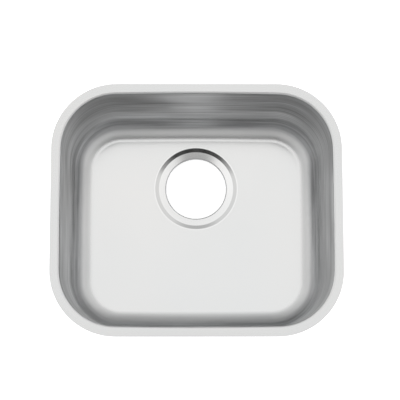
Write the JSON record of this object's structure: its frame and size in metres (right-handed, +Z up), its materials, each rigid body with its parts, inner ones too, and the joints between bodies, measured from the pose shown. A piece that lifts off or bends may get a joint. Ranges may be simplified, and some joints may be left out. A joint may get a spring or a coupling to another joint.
{
  "type": "undermount kitchen sink",
  "caption": "Single-bowl undermount sink with a flat rim flange, round corners, a stepped drain recess behind centre, sound-deadening pads and swing-out fixing straps.",
  "frame": {"origin": "middle of the flange's top face, in the plane of the worktop's underside", "axes": "+Z up out of the bowl, +Y to the rear, where the drain is, +X to the right"},
  "size_m": [0.4, 0.348, 0.1865],
  "materials": {
    "bowl_steel": "satin stainless sheet, fine brushed grain with faint drawing marks",
    "pad_rubber": "matt black bitumen-rubber sheet",
    "strap_steel": "plain rolled stainless strip with sheared edges",
    "stud_steel": "dull stainless weld studs",
    "zinc_steel": "bright zinc plate with a faint blue passivation",
    "earth_brass": "plain turned brass"
  },
  "bodies": {
    "sink": {"base_pad_front": "pad_rubber", "base_pad_left": "pad_rubber", "base_pad_right": "pad_rubber", "bowl": "bowl_steel", "earth_nut": "earth_brass", "earth_screw": "earth_brass", "earth_tag": "strap_steel", "earth_washer": "earth_brass", "fixing_nuts": "zinc_steel", "fixing_studs": "stud_steel", "fixing_washers": "zinc_steel", "wall_pad_front": "pad_rubber", "wall_pad_left": "pad_rubber", "wall_pad_rear": "pad_rubber", "wall_pad_right": "pad_rubber"},
    "strap_front_left": {"strap_front_left": "strap_steel"},
    "strap_front_right": {"strap_front_right": "strap_steel"},
    "strap_rear_left": {"strap_rear_left": "strap_steel"},
    "strap_rear_right": {"strap_rear_right": "strap_steel"},
    "strap_left_front": {"strap_left_front": "strap_steel"},
    "strap_left_rear": {"strap_left_rear": "strap_steel"},
    "strap_right_front": {"strap_right_front": "strap_steel"},
    "strap_right_rear": {"strap_right_rear": "strap_steel"}
  },
  "joints": [
    {"name": "strap_front_left_swing", "type": "hinge", "parent": "sink", "child": "strap_front_left", "pos_m": [-0.07, -0.16875, -0.00275], "axis": [0, 0, -1], "range_deg": [0, 180]},
    {"name": "strap_front_right_swing", "type": "hinge", "parent": "sink", "child": "strap_front_right", "pos_m": [0.07, -0.16875, -0.00275], "axis": [0, 0, 1], "range_deg": [0, 180]},
    {"name": "strap_rear_left_swing", "type": "hinge", "parent": "sink", "child": "strap_rear_left", "pos_m": [-0.07, 0.16875, -0.00275], "axis": [0, 0, 1], "range_deg": [0, 180]},
    {"name": "strap_rear_right_swing", "type": "hinge", "parent": "sink", "child": "strap_rear_right", "pos_m": [0.07, 0.16875, -0.00275], "axis": [0, 0, -1], "range_deg": [0, 180]},
    {"name": "strap_left_front_swing", "type": "hinge", "parent": "sink", "child": "strap_left_front", "pos_m": [-0.195, -0.05, -0.00275], "axis": [0, 0, 1], "range_deg": [0, 180]},
    {"name": "strap_left_rear_swing", "type": "hinge", "parent": "sink", "child": "strap_left_rear", "pos_m": [-0.195, 0.05, -0.00275], "axis": [0, 0, -1], "range_deg": [0, 180]},
    {"name": "strap_right_front_swing", "type": "hinge", "parent": "sink", "child": "strap_right_front", "pos_m": [0.195, -0.05, -0.00275], "axis": [0, 0, -1], "range_deg": [0, 180]},
    {"name": "strap_right_rear_swing", "type": "hinge", "parent": "sink", "child": "strap_right_rear", "pos_m": [0.195, 0.05, -0.00275], "axis": [0, 0, 1], "range_deg": [0, 180]}
  ]
}
